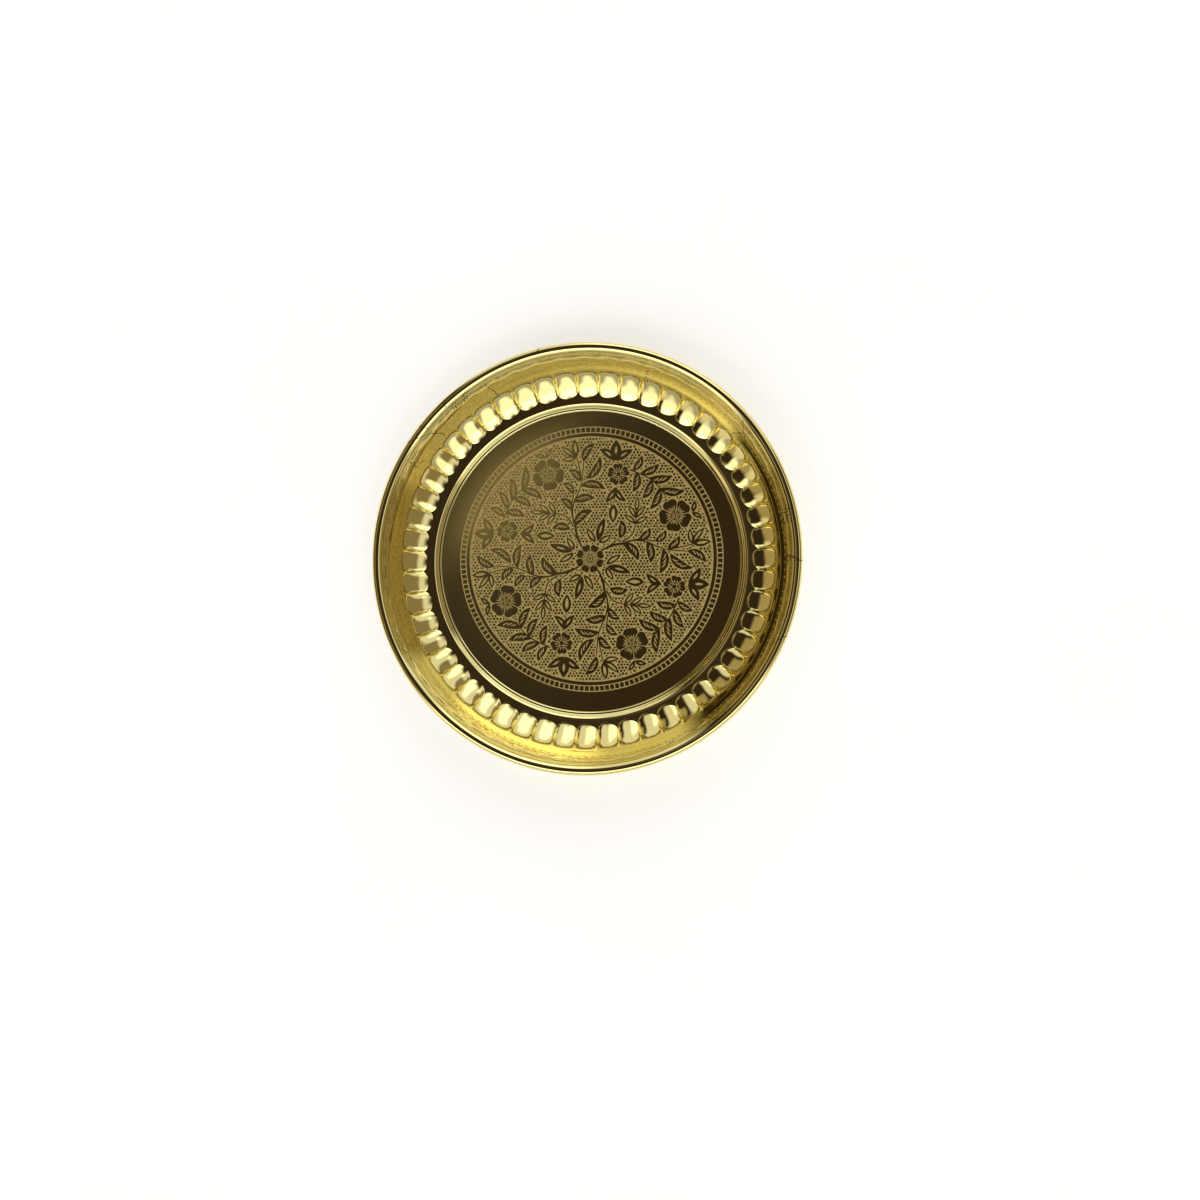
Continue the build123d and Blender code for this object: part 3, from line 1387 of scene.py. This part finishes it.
def clearance(outline: np.ndarray, at: np.ndarray) -> np.ndarray:
    """How far points lie outside an outline.

    Args:
        outline: its corners.
        at: the points, one row for each.

    Returns:
        A distance for each point, below zero inside.
    """
    here, run = outline[None], np.roll(outline, -1, axis=0)[None] - outline[None]
    off = at[:, None] - here
    share = np.clip((off * run).sum(axis=-1) / (run**2).sum(axis=-1), 0, 1)
    gap = np.linalg.norm(off - share[..., None] * run, axis=-1).min(axis=1)
    spans = (off[..., 1] < 0) != (off[..., 1] < run[..., 1])
    cross = off[..., 0] * run[..., 1] < off[..., 1] * run[..., 0]
    inside = (spans & (cross == (run[..., 1] > 0))).sum(axis=1) % 2 == 1
    return np.where(inside, -gap, gap)


@dataclass(frozen=True)
class Gaze:
    """A direction in the world's nodes: x and y, the length of the two, and its height in degrees."""

    x: Socket
    y: Socket
    level: Socket
    height: Socket


@dataclass(frozen=True)
class SoftPanel:
    """A soft light panel round the plate: bearing and height in degrees, brightness and tint."""

    bearing: float
    half_width: float
    low: float
    high: float
    level: float
    warm: bool = False
    edge: float = 5.0

    def draw(self, sheet: NodeSheet, gaze: Gaze) -> Socket:
        """The panel's brightness in a direction.

        Args:
            sheet: the world's nodes.
            gaze: the direction.

        Returns:
            The brightness, which fades out over the panel's edge.
        """
        a, edge = math.radians(self.bearing), self.edge
        east = sheet.math("MULTIPLY", gaze.x, math.cos(a))
        north = sheet.math("MULTIPLY", gaze.y, math.sin(a))
        share = sheet.math("DIVIDE", sheet.math("ADD", east, north), gaze.level)
        off = sheet.math("DEGREES", sheet.math("ARCCOSINE", share))
        side = sheet.ramp(off, self.half_width - edge, self.half_width + edge, self.level, 0.0)
        foot = sheet.ramp(gaze.height, self.low - edge, self.low + edge)
        top = sheet.ramp(gaze.height, self.high - edge, self.high + edge, 1.0, 0.0)
        return sheet.math("MULTIPLY", side, sheet.math("MULTIPLY", foot, top))


@dataclass
class Studio:
    """The pale floor, the soft panels and the camera.

    The gap under the plate and the lens are in millimetres, other lengths in metres, angles in degrees.
    """

    panels: tuple[SoftPanel, ...] = (
        SoftPanel(-92, 58, 24, 57, 1.30),
        SoftPanel(-92, 52, 44, 57, 1.00),
        SoftPanel(-92, 70, -5, 24, 0.42),
        SoftPanel(83, 45, 3, 48, 0.80),
        SoftPanel(80, 22, 18, 48, 0.85),
        SoftPanel(0, 36, 6, 42, 0.24, True),
        SoftPanel(5, 42, 42, 56, 0.80),
        SoftPanel(180, 42, 4, 22, 0.38, True),
        SoftPanel(180, 42, 48, 58, 0.45, True),
        SoftPanel(155, 34, 64, 78, 0.028),
        SoftPanel(146, 14, 62, 76, 0.20, True),
        SoftPanel(0, 200, -20, 8, 0.10, True),
    )
    warmth: tuple[float, float, float] = (1.0, 0.82, 0.52)
    room: tuple[float, float, float] = (0.034, 0.023, 0.015)
    floor_size: float = 40.0
    floor_gap: float = 0.03
    eye_tilt: float = 9.6
    eye_bearing: float = -29.0
    eye_distance: float = 0.55
    rim_height: float = 0.021
    aim: tuple[float, float, float] = (0.0083, -0.0201, 0.021)
    lens: float = 35.3

    def build(self) -> None:
        """Sets the stage."""
        self.lay_floor()
        self.hang_panels()
        self.aim_camera()
        bpy.context.scene.view_settings.view_transform = "Standard"

    def lay_floor(self) -> None:
        """The floor that the plate stands on."""
        bpy.ops.mesh.primitive_plane_add(size=self.floor_size, location=(0, 0, -self.floor_gap * MM))
        floor = bpy.context.active_object
        floor.name = "studio_floor"
        floor.data.materials.append(PaleFloor().material())

    def hang_panels(self) -> None:
        """Draws the world: a dim room with soft panels round the plate."""
        world = bpy.data.worlds.new("studio")
        world.use_nodes = True
        sheet = NodeSheet(world.node_tree)
        way = sheet.add("ShaderNodeTexCoord").outputs["Generated"]
        split = sheet.add("ShaderNodeSeparateXYZ")
        sheet.feed(way, split.inputs[0])
        x, y, z = split.outputs
        height = sheet.math("DEGREES", sheet.math("ARCSINE", z))
        squares = sheet.math("ADD", sheet.math("POWER", x, 2.0), sheet.math("POWER", y, 2.0))
        gaze = Gaze(x, y, sheet.math("SQRT", squares), height)
        totals: dict[bool, Value] = {False: 0.0, True: 0.0}
        for panel in self.panels:
            totals[panel.warm] = sheet.math("ADD", totals[panel.warm], panel.draw(sheet, gaze))
        glow = sheet.add("ShaderNodeCombineXYZ")
        for socket, room, warm in zip(glow.inputs, self.room, self.warmth):
            tinted = sheet.math("MULTIPLY_ADD", totals[True], warm, room)
            sheet.feed(sheet.math("ADD", totals[False], tinted), socket)
        background = sheet.add("ShaderNodeBackground")
        sheet.feed(glow.outputs[0], background.inputs["Color"])
        sheet.show(background, "ShaderNodeOutputWorld")
        bpy.context.scene.world = world

    def aim_camera(self) -> None:
        """Stands the camera almost overhead, with +Y up in the picture."""
        tilt, bearing = math.radians(self.eye_tilt), math.radians(self.eye_bearing)
        lean = math.sin(tilt)
        way = Vector((lean * math.cos(bearing), lean * math.sin(bearing), math.cos(tilt)))
        eye = Vector((0, 0, self.rim_height)) + way * self.eye_distance
        back = (eye - Vector(self.aim)).normalized()
        right = Vector((0, 1, 0)).cross(back).normalized()
        turned = Matrix((right, back.cross(right), back)).transposed().to_4x4()
        data = bpy.data.cameras.new("camera")
        data.lens = self.lens
        camera = bpy.data.objects.new("camera", data)
        camera.matrix_world = Matrix.Translation(eye) @ turned
        bpy.context.scene.collection.objects.link(camera)
        bpy.context.scene.camera = camera


def main() -> None:
    """Builds the plate piece by piece, then the studio."""
    logging.basicConfig(level=logging.INFO, format="%(name)s: %(message)s")
    profile = SheetProfile(SheetSizes())
    ledge_seam, wall_seam = 0.24, 0.72
    DishFloor(profile, ledge_seam).build()
    FloorEngraving(profile.sizes.sheet).build()
    FlutedWall(profile, ledge_seam, wall_seam).build()
    RolledRim(profile, wall_seam).build()
    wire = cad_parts[WIRE_NODE]
    wire.data.materials.clear()
    wire.data.materials.append(DrawnSteel().material())
    report(wire)
    Studio().build()


if __name__ == "__main__":
    main()
